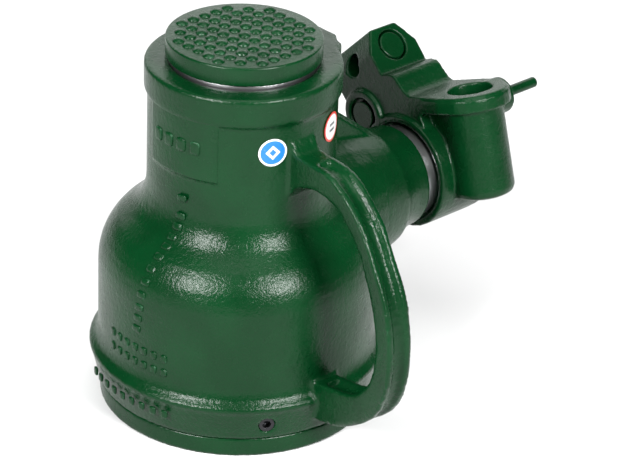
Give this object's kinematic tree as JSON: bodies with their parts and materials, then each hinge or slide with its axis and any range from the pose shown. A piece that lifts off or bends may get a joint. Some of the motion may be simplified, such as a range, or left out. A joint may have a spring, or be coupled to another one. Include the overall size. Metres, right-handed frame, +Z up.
{
  "type": "ratchet screw jack",
  "caption": "Compact bevel-gear screw jack: bell housing on a round base, side ratchet head with lever socket, carrying handle and knurled swivel load cap.",
  "frame": {"origin": "centre of the flat underside of the base, on the axis of the lifting screw", "axes": "+Z up along the lifting screw, +X along the side neck and its ratchet shaft, -Y towards the carrying handle"},
  "size_m": [0.332, 0.2564, 0.254],
  "materials": {
    "green_casting": "deep glossy green enamel over cast steel",
    "green_machined": "glossy green enamel over machined faces",
    "black_oxide": "black oxide",
    "bearing_steel": "polished bearing steel",
    "machined_steel": "turned steel, lightly oiled",
    "gear_steel": "hardened gear steel",
    "bronze": "cast bronze",
    "seal_rubber": "matt",
    "label_blue": null,
    "label_red": null,
    "zinc": "zinc plated"
  },
  "bodies": {
    "housing": {"housing": "green_casting", "base_plate": "green_machined", "set_screw_1": "black_oxide", "set_screw_2": "black_oxide", "set_screw_3": "black_oxide", "lower_race": "bearing_steel", "inner_bush": "bronze", "outer_bush": "bronze", "neck_washer": "machined_steel", "wiper_ring": "seal_rubber", "guide_key": "machined_steel", "guide_key_screw": "black_oxide", "grease_plug": "zinc", "label_blue": "label_blue", "label_red": "label_red"},
    "cage": {"ball_cage": "bearing_steel"},
    "screw": {"load_screw": "machined_steel", "bevel_gear": "gear_steel", "gear_key": "machined_steel", "upper_race": "bearing_steel"},
    "pinion": {"bevel_pinion": "gear_steel", "ratchet_wheel": "gear_steel", "wheel_key": "machined_steel", "shaft_washer": "zinc", "shaft_nut": "zinc"},
    "ram": {"ram": "machined_steel", "ram_nut": "bronze", "nut_pin_1": "black_oxide", "nut_pin_2": "black_oxide"},
    "cap": {"load_cap": "green_machined", "cap_ring": "machined_steel"},
    "head": {"lever_head": "green_casting", "head_cover": "green_machined", "cover_screw_1": "black_oxide", "cover_screw_2": "black_oxide", "cover_screw_3": "black_oxide", "cover_screw_4": "black_oxide", "cover_screw_5": "black_oxide", "pawl_pin": "green_machined", "pawl_clip": "black_oxide", "spring_plug": "green_machined", "pawl_spring": "black_oxide", "bar_pin_gland": "green_machined"},
    "pawl": {"pawl": "gear_steel"},
    "plunger": {"plunger": "machined_steel"},
    "bar_pin": {"bar_pin": "green_machined"}
  },
  "joints": [
    {"name": "ram_lift", "type": "slide", "parent": "housing", "child": "ram", "axis": [0, 0, 1], "range_m": [0, 0.1016]},
    {"name": "screw_turn", "type": "hinge", "parent": "housing", "child": "screw", "pos_m": [0, 0, 0], "axis": [0, 0, 1], "range_deg": [-2881, 0]},
    {"name": "cage_turn", "type": "hinge", "parent": "housing", "child": "cage", "pos_m": [0, 0, 0], "axis": [0, 0, 1], "range_deg": [-1441, 0]},
    {"name": "pinion_turn", "type": "hinge", "parent": "housing", "child": "pinion", "pos_m": [0.06, 0, 0.1108], "axis": [1, 0, 0], "range_deg": [-7923, 0]},
    {"name": "cap_swivel", "type": "hinge", "parent": "ram", "child": "cap", "pos_m": [0, 0, 0.24], "axis": [0, 0, 1], "continuous": true},
    {"name": "lever_swing", "type": "hinge", "parent": "housing", "child": "head", "pos_m": [0.15, 0, 0.1108], "axis": [1, 0, 0], "range_deg": [-60, 60]},
    {"name": "pawl_swing", "type": "hinge", "parent": "head", "child": "pawl", "pos_m": [0.17, 0.04102, 0.13661], "axis": [1, 0, 0], "range_deg": [0, 8]},
    {"name": "plunger_slide", "type": "slide", "parent": "head", "child": "plunger", "axis": [0, -0.7071, 0.7071], "range_m": [0, 0.0046]},
    {"name": "bar_pin_pull", "type": "slide", "parent": "head", "child": "bar_pin", "axis": [1, 0, 0], "range_m": [0, 0.004]}
  ],
  "couplings": [
    {"joint": "screw_turn", "follows": "ram_lift", "rad_per_m": -494.74},
    {"joint": "cage_turn", "follows": "ram_lift", "rad_per_m": -247.37},
    {"joint": "pinion_turn", "follows": "ram_lift", "rad_per_m": -1360.5},
    {"joint": "plunger_slide", "follows": "pawl_swing", "m_per_rad": 0.03027}
  ]
}
